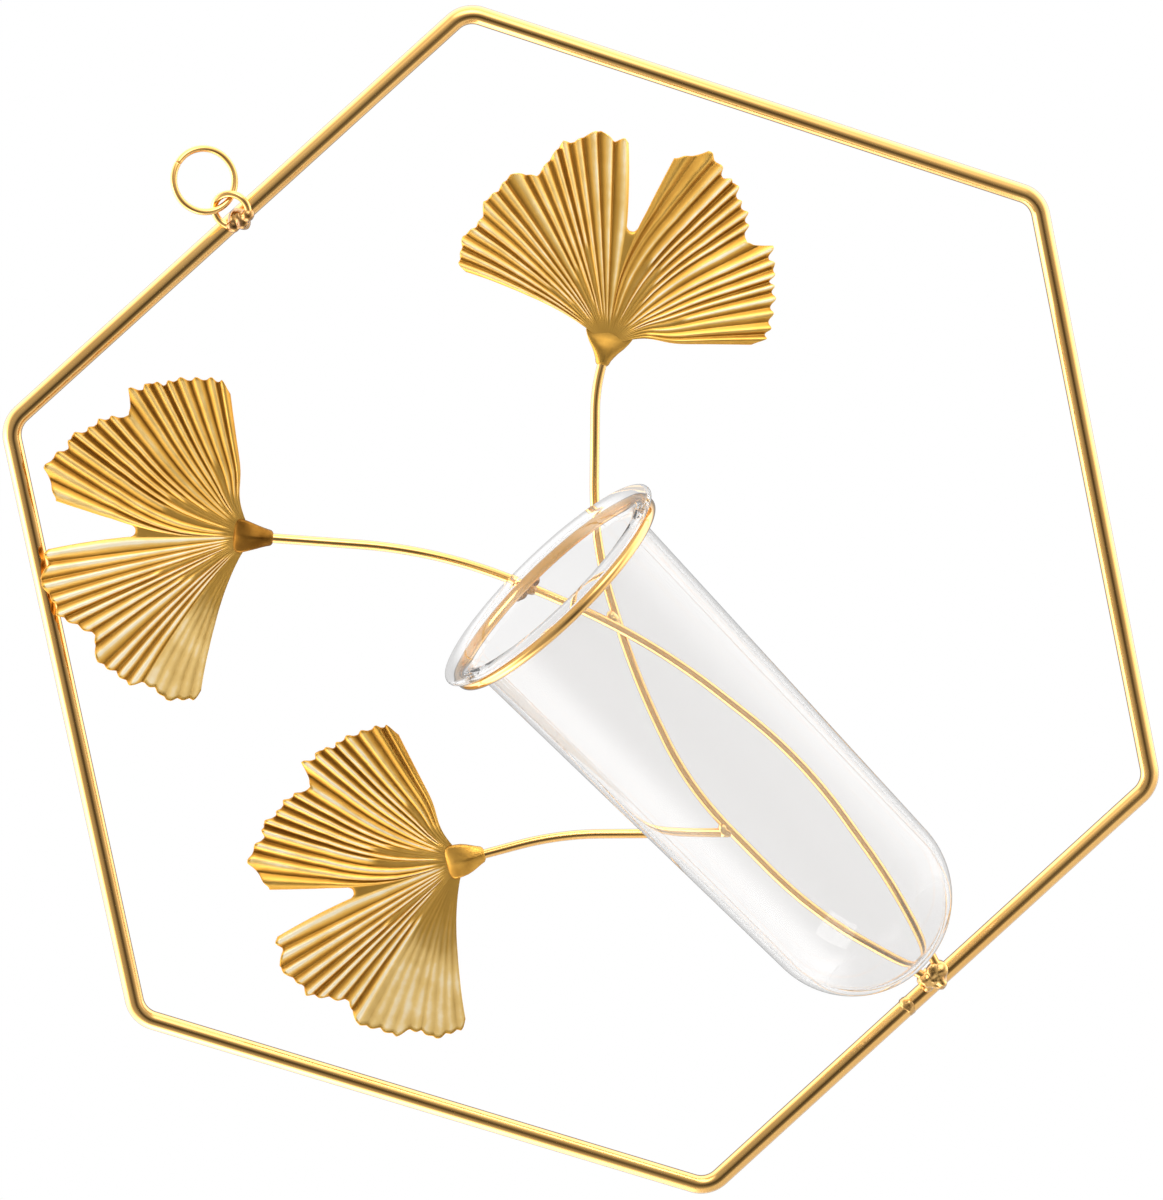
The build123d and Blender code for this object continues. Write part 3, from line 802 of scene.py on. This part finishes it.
def leaf_mesh(name, root, along, left, facing, look):
    """A pleated leaf: rows run out along the radius, columns across the angle, on the front and the back.

    Height = radius times (cup slope times the angle's share squared + rib slope times the height in the rib,
    from -1 to 1, faded in where the rib begins). A line's angle changes with the radius, so that the ribs
    curve in to the root. The middle columns fill the wedge between the halves and stop at the cleft's round
    end. The tone is painted light and shade: it runs from each half's groove tone, a painted shade, to its
    crest tone, a painted highlight, is plain where the look says so, is painted lighter on the flat outer
    part, falls off to a painted shade on a narrow rim along the edge, and is turned the other way round on the
    back.
    """
    l_angle, l_height, l_begin = rib_columns(
        LEFT_CLEFT_SIDE, LEFT_CRESTS, LEFT_GROOVES, LEFT_STARTS)
    r_angle, r_height, r_begin = rib_columns(
        RIGHT_CLEFT_SIDE, RIGHT_CRESTS, RIGHT_GROOVES, RIGHT_STARTS)
    l_edge = leaf_edge(l_angle, LEFT_EDGE, left_angle) + LEFT_TOOTH * l_height
    r_edge = leaf_edge(r_angle, RIGHT_EDGE, right_angle) + RIGHT_TOOTH * r_height ** 2
    across = np.linspace(-1, 1, 13)[1:-1]
    wedge = len(across)
    wedge_end = LEAF_CLEFT_R - LEAF_CLEFT_ROUND + LEAF_CLEFT_ROUND * np.abs(across) ** 3
    edge = np.concatenate([r_edge[::-1], wedge_end, l_edge])
    first = len(r_edge)
    in_wedge = np.zeros(len(edge), bool)
    in_wedge[first:first + wedge] = True

    inner_rows, outer_rows = 30, 30
    plain_rows = outer_rows - len(LEAF_RIM_ROWS)
    crowd = np.concatenate([np.linspace(0, 1, plain_rows, endpoint=False), LEAF_RIM_ROWS])
    cleft = np.where(in_wedge, edge, LEAF_CLEFT_R)
    inner = LEAF_ROOT_R + (cleft - LEAF_ROOT_R)[None, :] * np.linspace(0, 1, inner_rows)[:, None]
    outer = cleft[None, :] + (edge - cleft)[None, :] * crowd[1:, None]
    radius = np.concatenate([inner, outer])
    rows, columns = radius.shape

    right_turn = -right_angle(r_angle[::-1][None, :], radius[:, :first])
    left_turn = left_angle(l_angle[None, :], radius[:, first + wedge:])
    share = (across + 1) / 2
    middle_turn = right_turn[:, -1:] * (1 - share) + left_turn[:, :1] * share
    turn = np.concatenate([right_turn, middle_turn, left_turn], 1)
    rib = np.concatenate([r_height[::-1], np.full(wedge, 0.5), l_height])
    begin = np.concatenate([r_begin[::-1], np.full(wedge, 8.0), l_begin])
    left_strength = np.where(l_angle > look["flat_from"], LEAF_FLAT_SHARE, 1.0)
    strength = np.concatenate([np.ones(first + wedge), left_strength])
    begun = smooth_step(radius, begin[None, :] - RIB_BEGIN_FADE[0], begin[None, :] - RIB_BEGIN_FADE[1])
    begun = RIB_ROOT_SHARE + (1 - RIB_ROOT_SHARE) * begun
    pleat = (2 * rib[None, :] * begun - 1) * strength[None, :]
    grown = smooth_step(radius, 1.5, 7.0)
    height = radius * (RIB_SLOPE * grown * pleat + LEAF_CUP_SLOPE * (turn / LEAF_SIDE) ** 2)

    # Painted shade in the grooves and painted highlight on the crests, from each half's groove tone to its
    # crest tone
    groove, crest, narrow = look["right_groove_crest_shading"]
    right_painted_shading = groove + (crest - groove) * r_height[::-1] ** narrow
    groove, crest, narrow = look["left_groove_crest_shading"]
    left_painted_shading = groove + (crest - groove) * l_height ** narrow
    painted_shading = np.concatenate([right_painted_shading, np.full(wedge, LEAF_PLAIN_TONE), left_painted_shading])
    # A calmer painted tone over part of the right half, and the flat outer part painted lighter
    angles, shares, calm_painted_tone = look["right_calm"]
    right_lively = np.interp(r_angle[::-1], angles, shares)
    lively = np.concatenate([right_lively, np.ones(wedge), left_strength])
    calmed = np.zeros(len(edge))
    calmed[:first] = calm_painted_tone - LEAF_PLAIN_TONE
    calmed = calmed + LEAF_FLAT_PAINTED_LIFT * (1 - strength)
    plain_tone = LEAF_PLAIN_TONE + calmed[None, :] * smooth_step(radius, 12.0, 26.0)
    clear = smooth_step(radius, 1.5, 5.0) * begun * lively[None, :]
    tone = plain_tone + (painted_shading[None, :] - plain_tone) * clear
    # Painted shade that darkens the tone on a narrow rim along the edge, front and back
    rim_share = np.clip((edge[None, :] - radius) / LEAF_RIM, 0, 1)
    painted_rim_shade = look["rim"] + (1 - look["rim"]) * rim_share
    # The back takes the opposite painted shading: crests dark, grooves light
    front_painted_shading = tone * painted_rim_shade
    back_painted_shading = (1 - tone) * painted_rim_shade

    edge_gap = np.clip((edge[None, :] - radius) / LEAF_EDGE_ROUND, 0, 1)
    ease = LEAF_EDGE_EASE * (1 - np.sqrt(np.clip(1 - (1 - edge_gap) ** 2, 0, 1)))
    bearing = np.radians(turn)
    ahead = (radius * np.cos(bearing))[..., None]
    aside = (radius * np.sin(bearing))[..., None]
    flat = root + ahead * along + aside * left
    front = flat + (height - ease)[..., None] * facing
    back = flat + (height - LEAF_SHEET_T + ease)[..., None] * facing

    quads, steps = grid_faces(rows, columns, False, False)
    column_open = in_wedge.copy()
    column_open[first - 1] = True
    keep = ~((steps[:, 0, 0] >= inner_rows - 1) & column_open[steps[:, 0, 1]])
    quads, steps = quads[keep], steps[keep]
    total = rows * columns
    polar = np.stack([bearing * LEAF_MEAN_R + LEAF_UV_SHIFT, radius], -1) * MM
    uv = polar[steps[..., 0], steps[..., 1]]

    edges = np.concatenate([quads[:, [k, (k + 1) % 4]] for k in range(4)])
    keys = np.sort(edges, 1)
    order = keys[:, 0] * total + keys[:, 1]
    _, index, counts = np.unique(order, return_index=True, return_counts=True)
    rim = edges[index[counts == 1]]
    rim_quads = np.stack([rim[:, 1], rim[:, 0], rim[:, 0] + total, rim[:, 1] + total], -1)
    rim_uv = polar.reshape(-1, 2)[rim_quads % total]
    points = np.concatenate([front.reshape(-1, 3), back.reshape(-1, 3)])
    tones = np.concatenate([front_painted_shading.ravel(), back_painted_shading.ravel()])
    all_quads = np.concatenate([quads, quads[:, ::-1] + total, rim_quads])
    all_uv = np.concatenate([uv, uv[:, ::-1], rim_uv])
    used = np.unique(all_quads)
    renumber = np.zeros(2 * total, int)
    renumber[used] = np.arange(len(used))
    return write_mesh(name, points[used], renumber[all_quads], all_uv, tone=tones[used])


# Ferrules: half widths and heights at stations along the root, rows of the mesh and how far each is closed
FERRULE_STATIONS = (-4.6, -3.2, -1.6, 0.0, 1.6, 2.8, 4.0)
FERRULE_ROWS = (-4.6, -4.55, -4.35, -4.0, -3.2, -2.2, -1.2, 0.0, 1.2, 2.2, 3.0, 3.5, 3.8, 3.95)
FERRULE_CLOSE = (0.05, 0.55, 0.85, 1, 1, 1, 1, 1, 1, 1, 0.97, 0.88, 0.7, 0.45)
FERRULE_SET_BACK = 0.25
FERRULES = {
    "upper_left": {
        "half_width": (1.5, 1.9, 2.5, 3.1, 3.7, 4.0, 3.9),
        "half_height": (1.4, 1.6, 1.85, 1.9, 1.6, 1.2, 0.6),
        "facet": 0.85,
    },
    "right": {
        "half_width": (1.3, 1.7, 2.6, 3.9, 4.9, 5.4, 5.2),
        "half_height": (1.3, 1.45, 1.5, 1.15, 0.45, 0.2, 0.15),
        "facet": 0.1,
    },
    "lower_left": {
        "half_width": (1.5, 2.1, 3.0, 3.6, 3.9, 4.0, 3.8),
        "half_height": (1.4, 1.6, 1.85, 1.9, 1.6, 1.2, 0.6),
        "facet": 0.85,
    },
}


def ferrule_mesh(name, root, along, left, facing, shape):
    """The crimped cone at a leaf's root: a six-sided section that grows from the stem to the leaf.

    Point (s, a) = s along the root + half width at s times cos a across + half height at s times sin a
    outwards, with both drawn in by how far a hexagon lies inside its circle, and run down to nothing at the
    ends.
    """
    rows = np.array(FERRULE_ROWS)
    half_width = np.interp(rows, FERRULE_STATIONS, shape["half_width"])
    half_height = np.interp(rows, FERRULE_STATIONS, shape["half_height"])
    close = np.array(FERRULE_CLOSE)
    sides = 48
    a = np.arange(sides) * 2 * np.pi / sides
    hexagon = math.cos(math.pi / 6) / np.cos(np.mod(a + math.pi / 6, math.pi / 3) - math.pi / 6)
    pressed = smooth_step(rows, -4.0, -1.5)[:, None]
    facet = 1 + shape["facet"] * (hexagon[None, :] - 0.95) * pressed
    across = (half_width * close)[:, None] * np.cos(a)[None, :] * facet
    over = (half_height * close)[:, None] * np.sin(a)[None, :] * facet
    line = root + rows[:, None] * along - FERRULE_SET_BACK * facing
    points = line[:, None] + across[..., None] * left + over[..., None] * facing
    quads, steps = grid_faces(len(rows), sides, False, True)
    uv = np.stack([LEAF_UV_SHIFT + 0.3 * steps[..., 1], rows[steps[..., 0]] + 5], -1) * MM
    triangles = pole_fans(len(rows), sides)[:, ::-1]
    points = np.concatenate([points.reshape(-1, 3), line[[0, -1]]])
    fan_uv = np.full((2 * sides, 3, 2), LEAF_UV_SHIFT * MM)
    return write_mesh(name, points, quads[:, ::-1], uv[:, ::-1], triangles, fan_uv)


TOWARDS_VIEWER = np.array([0.0, -1.0, 0.0])
# Painted light and shade of each leaf, set leaf by leaf: groove and crest tones of each half, a calmer tone
# over part of the right half and how dark the painted shade on the rim gets; the angle where the left half
# turns flat also lowers its pleats
LEAF_LOOKS = {
    "upper_left": {
        "flat_from": 57.0,
        "left_groove_crest_shading": (0.28, 1.0, 1.15),
        "right_groove_crest_shading": (0.0, 0.85, 1.0),
        "right_calm": ((70, 76.5), (1, 0.5), 0.4),
        "rim": 0.4,
    },
    "right": {
        "flat_from": 90.0,
        "left_groove_crest_shading": (0.18, 0.90, 1.0),
        "right_groove_crest_shading": (0.20, 1.0, 2.3),
        "right_calm": ((5, 13, 18, 62, 69, 76.5), (0.3, 0.3, 1, 1, 0.5, 0.3), 0.50),
        "rim": 0.85,
    },
    "lower_left": {
        "flat_from": 42.0,
        "left_groove_crest_shading": (0.26, 1.0, 1.2),
        "right_groove_crest_shading": (0.0, 0.98, 1.4),
        "right_calm": ((5, 8, 13, 64, 71, 76.5), (0.5, 0.5, 1, 1, 0.3, 0.2), 0.30),
        "rim": 0.4,
    },
}
for where, (line, _) in STEMS.items():
    along = unit(line[-1] - line[-2])
    root = line[-1] + along * STEM_TIP_BACK
    facing = unit(TOWARDS_VIEWER - along * (TOWARDS_VIEWER @ along))
    left = np.cross(facing, along)
    leaf = leaf_mesh("leaf_" + where, root, along, left, facing, LEAF_LOOKS[where])
    finish_piece(leaf, GOLD_SHEET, "satin_gold", "wall_frame", where + "_leaf")
    ferrule = ferrule_mesh("ferrule_" + where, root, along, left, facing, FERRULES[where])
    finish_piece(ferrule, GOLD_CRIMP[where], "satin_gold", "wall_frame", where + "_leaf_ferrule")

# Neck ring and glass

carrier = at_height(upper_left_line, NECK_H)
neck_reach = LIP_R + LIP_CLEAR + STEM_R
neck_offset = NECK_X - carrier[0]
neck_depth = carrier[1] - math.sqrt(neck_reach ** 2 - neck_offset ** 2)
neck_middle = np.array([NECK_X, neck_depth, BOTTOM_ROD_Z + NECK_H])


def turned(vector):
    """A direction leaned about Y and then pitched about X, as the neck ring is."""
    lean = math.radians(-NECK_LEAN)
    pitch = math.radians(NECK_PITCH)
    x, y, z = vector
    x, z = x * math.cos(lean) + z * math.sin(lean), -x * math.sin(lean) + z * math.cos(lean)
    y, z = y * math.cos(pitch) - z * math.sin(pitch), y * math.sin(pitch) + z * math.cos(pitch)
    return np.array([x, y, z])


neck_across, neck_deep, neck_up = turned((1, 0, 0)), turned((0, 1, 0)), turned((0, 0, 1))
hoop_line = circle_path(neck_middle, NECK_RING_R, neck_across, neck_deep, HOOP_ROWS)
neck_hoop = tube_mesh("neck_hoop", hoop_line, neck_up, NECK_WIRE_R, HOOP_SIDES, closed=True)
finish_piece(neck_hoop, GOLD_WIRE, "polished_gold", "wall_frame", "neck_ring")

neck_share = (NECK_RING_R + neck_reach) / 2 / neck_reach
neck_spot = neck_middle + (carrier - neck_middle) * neck_share
hoop_way = unit(np.cross(neck_up, carrier - neck_middle))
neck_low = neck_spot + [0, 0, -0.35]
neck_drops = drops(
    neck_low, (0, 0, 0, 1.7), (*(1.9 * hoop_way), 1.4), (*(-1.9 * hoop_way), 1.4),
    (*(3.2 * hoop_way), 1.0), (0.2, 0.3, -1.0, 1.2),
)
neck_bead = weld_mesh("neck_bead", neck_drops, roughness=0.1, seed=17)
finish_piece(neck_bead, WELD_PAINTED_SHADE, "weld_gold", "wall_frame", "neck_ring_weld")


def arc(centre, radius, start, end, rows):
    """Points of a flat arc, start and end in degrees."""
    a = np.radians(np.linspace(start, end, rows))
    return np.stack([centre[0] + radius * np.cos(a), centre[1] + radius * np.sin(a)], -1)


def glass_profile():
    """The tube's section: round end, tapering wall, flare and rolled lip outside, and the same back inside.

    The wall is thin and grows to the lip's thickness along the flare, whose inside is a quarter ellipse.
    """
    end_z = TUBE_BOTTOM + TUBE_END_R
    flare = (TUBE_NECK_R + FLARE_R, LIP_UNDER - FLARE_R)
    lip = (LIP_R - LIP_T / 2, LIP_UNDER + LIP_T / 2)
    wall = np.linspace(0, 1, 10)[1:-1, None]
    wall_foot = np.array([TUBE_END_R, end_z])
    wall_head = np.array([TUBE_NECK_R, flare[1]])
    outer_wall = wall_foot * (1 - wall) + wall_head * wall
    inner_wall = outer_wall[::-1] - [TUBE_WALL, 0]
    a = np.radians(np.linspace(90, 180, 36))[:, None]
    inner_flare = np.array(flare) + np.concatenate([
        (FLARE_R + TUBE_WALL) * np.cos(a), (FLARE_R + LIP_T) * np.sin(a),
    ], 1)
    return np.concatenate([
        arc((0, end_z), TUBE_END_R, -90, 0, 40),
        outer_wall,
        arc(flare, FLARE_R, 180, 90, 28),
        arc(lip, LIP_T / 2, -90, 90, 28),
        inner_flare,
        inner_wall,
        arc((0, end_z), TUBE_END_R - TUBE_WALL, 0, -90, 40),
    ])


glass_vase = lathe_mesh(
    "glass_vase", glass_profile(), neck_middle, neck_across, neck_deep, neck_up, GLASS_SEGMENTS)
finish_piece(glass_vase, GLASS, "clear_glass", "vase", "glass_tube")


# Camera

def placed(right, up, back, place):
    """The matrix of a camera or lamp from its three directions and its place in metres."""
    matrix = np.eye(4)
    matrix[:3] = np.stack([right, up, back, place], 1)
    return Matrix(matrix.tolist())


frame_middle = np.array([0, FRAME_Y, CENTRE_Z])
view_back = np.array([
    math.sin(VIEW_AZIMUTH) * math.cos(VIEW_ELEVATION),
    -math.cos(VIEW_AZIMUTH) * math.cos(VIEW_ELEVATION),
    math.sin(VIEW_ELEVATION),
])
level_right = np.array([math.cos(VIEW_AZIMUTH), math.sin(VIEW_AZIMUTH), 0])
level_up = np.cross(view_back, level_right)
view_right = math.cos(VIEW_ROLL) * level_right + math.sin(VIEW_ROLL) * level_up
view_up = -math.sin(VIEW_ROLL) * level_right + math.cos(VIEW_ROLL) * level_up
view_aside = view_right * VIEW_ASIDE[0] + view_up * VIEW_ASIDE[1]
view_place = frame_middle + view_back * VIEW_DISTANCE + view_aside

camera_data = bpy.data.cameras.new("camera")
camera_data.lens = LENS
camera_data.sensor_width = SENSOR_WIDTH
camera_data.clip_start = 0.05
camera_data.clip_end = 50.0
camera = bpy.data.objects.new("camera", camera_data)
camera.matrix_world = placed(view_right, view_up, view_back, view_place * MM)
bpy.context.scene.collection.objects.link(camera)
bpy.context.scene.camera = camera

# Studio

scene = bpy.context.scene
scene.view_settings.view_transform = "Standard"

# White where it is seen directly, in reflections or through the glass, and a soft sky light elsewhere
world = bpy.data.worlds.new("studio")
world.use_nodes = True
scene.world = world
tree = world.node_tree
tree.nodes.clear()
light_path = tree.nodes.new("ShaderNodeLightPath")
either = tree.nodes.new("ShaderNodeMath")
either.operation = "MAXIMUM"
any_of = tree.nodes.new("ShaderNodeMath")
any_of.operation = "MAXIMUM"
tree.links.new(light_path.outputs["Is Camera Ray"], either.inputs[0])
tree.links.new(light_path.outputs["Is Glossy Ray"], either.inputs[1])
tree.links.new(either.outputs[0], any_of.inputs[0])
tree.links.new(light_path.outputs["Is Transmission Ray"], any_of.inputs[1])
soft = tree.nodes.new("ShaderNodeBackground")
soft.inputs["Color"].default_value = (0.9, 0.92, 0.95, 1)
soft.inputs["Strength"].default_value = 0.75
white = tree.nodes.new("ShaderNodeBackground")
white.inputs["Color"].default_value = (1, 1, 1, 1)
white.inputs["Strength"].default_value = 1.0
mix = tree.nodes.new("ShaderNodeMixShader")
out = tree.nodes.new("ShaderNodeOutputWorld")
tree.links.new(any_of.outputs[0], mix.inputs["Fac"])
tree.links.new(soft.outputs["Background"], mix.inputs[1])
tree.links.new(white.outputs["Background"], mix.inputs[2])
tree.links.new(mix.outputs["Shader"], out.inputs["Surface"])


# Panels of the tent: strength, turn in the picture's plane, angle off the camera's axis, width
TENT_PANELS = (
    (4.6, 74, 45, 16),
    (2.4, 102, 50, 14),
    (4.4, 191, 82, 20),
    (3.6, 254, 86, 19),
    (0.3, 20, 90, 35),
    (-0.46, 305, 18, 22),
    (-0.20, 312, 46, 16),
)


def glow_level(way):
    """Brightness of the light tent in a direction (right, up, towards the camera).

    It rises from a dim front, where the camera stands, to bright sides and falls to a dim back. To that come
    panels, each its strength times exp of minus the squared angle from its middle in widths.
    """
    off_axis = np.degrees(np.arccos(np.clip(way[..., 2], -1, 1)))
    level = TENT_FRONT + TENT_SIDE_RISE * smooth_step(off_axis, 50, 98)
    level = level - TENT_BACK_FALL * smooth_step(off_axis, 112, 152)
    for strength, turn, off, width in TENT_PANELS:
        turn, off = math.radians(turn), math.radians(off)
        middle = (math.sin(off) * math.cos(turn), math.sin(off) * math.sin(turn), math.cos(off))
        apart = np.arccos(np.clip(way @ np.array(middle), -1, 1))
        level = level + strength * np.exp(-(apart / math.radians(width)) ** 2)
    return np.maximum(level, TENT_DIMMEST)


def light_tent():
    """A sphere round the object, seen only in its reflections, with a brightness for each direction from the
    middle."""
    rows, columns = 120, 180
    polar = np.radians(np.linspace(0.5, 179.5, rows))
    turn = np.arange(columns) * 2 * np.pi / columns
    p, t = np.meshgrid(polar, turn, indexing="ij")
    way = np.stack([np.sin(p) * np.cos(t), np.sin(p) * np.sin(t), np.cos(p)], -1)
    points = frame_middle + TENT_R * (
        way[..., :1] * view_right + way[..., 1:2] * view_up + way[..., 2:] * view_back)
    quads, steps = grid_faces(rows, columns, False, True)
    tent = write_mesh("light_tent", points.reshape(-1, 3), quads, steps * STAGE_UV)
    level = tent.data.attributes.new("glow", "FLOAT", "POINT")
    level.data.foreach_set("value", glow_level(way).astype(np.float32).ravel())
    material = bpy.data.materials.new("tent_cloth")
    material.use_nodes = True
    nodes = material.node_tree.nodes
    nodes.clear()
    glow = nodes.new("ShaderNodeAttribute")
    glow.attribute_name = "glow"
    emission = nodes.new("ShaderNodeEmission")
    output = nodes.new("ShaderNodeOutputMaterial")
    material.node_tree.links.new(glow.outputs["Fac"], emission.inputs["Strength"])
    material.node_tree.links.new(emission.outputs["Emission"], output.inputs["Surface"])
    material.cycles.emission_sampling = "NONE"
    tent.data.materials.append(material)
    tent.visible_camera = False
    tent.visible_diffuse = False
    tent.visible_transmission = False
    tent.visible_volume_scatter = False
    tent.visible_shadow = False


light_tent()


def pale_floor():
    """A pale disc below the object that fades out towards its rim."""
    rows, columns = 24, 96
    spread = np.linspace(0, 1, rows + 1)[1:] * FLOOR_R
    a = np.arange(columns) * 2 * np.pi / columns
    points = np.stack([
        spread[:, None] * np.cos(a), spread[:, None] * np.sin(a), np.full((rows, columns), FLOOR_Z),
    ], -1).reshape(-1, 3)
    quads, steps = grid_faces(rows, columns, False, True)
    j = np.arange(columns)
    fan = np.stack([np.full(columns, len(points)), j, (j + 1) % columns], -1)
    points = np.concatenate([points, [[0, 0, FLOOR_Z]]])
    fade = 1 - smooth_step(np.hypot(points[:, 0], points[:, 1]), 0.3 * FLOOR_R, FLOOR_R)
    fan_uv = np.zeros((columns, 3, 2))
    floor = write_mesh("floor", points, quads, steps * STAGE_UV, fan, fan_uv, tone=fade)
    finish = Finish("pale_floor")
    finish.set("Base Color", (0.95, 0.95, 0.94, 1))
    finish.set("Roughness", 0.8)
    finish.set("Alpha", finish.attribute("tone"))
    floor.data.materials.append(finish.material)


pale_floor()


def soft_lamp(name, right, up, front, size, power):
    """A square area lamp facing the frame's middle, placed in the camera's directions in metres."""
    data = bpy.data.lights.new(name, "AREA")
    data.energy = power
    data.size = size
    lamp = bpy.data.objects.new(name, data)
    way = right * view_right + up * view_up + front * view_back
    place = frame_middle * MM + way
    back = unit(way)
    across = unit(np.cross(UP, back))
    above = np.cross(back, across)
    lamp.matrix_world = placed(across, above, back, place)
    scene.collection.objects.link(lamp)
    return lamp


key_lamp = soft_lamp("key_lamp", right=0.38, up=0.75, front=0.75, size=0.8, power=10.0)
key_lamp.visible_glossy = False
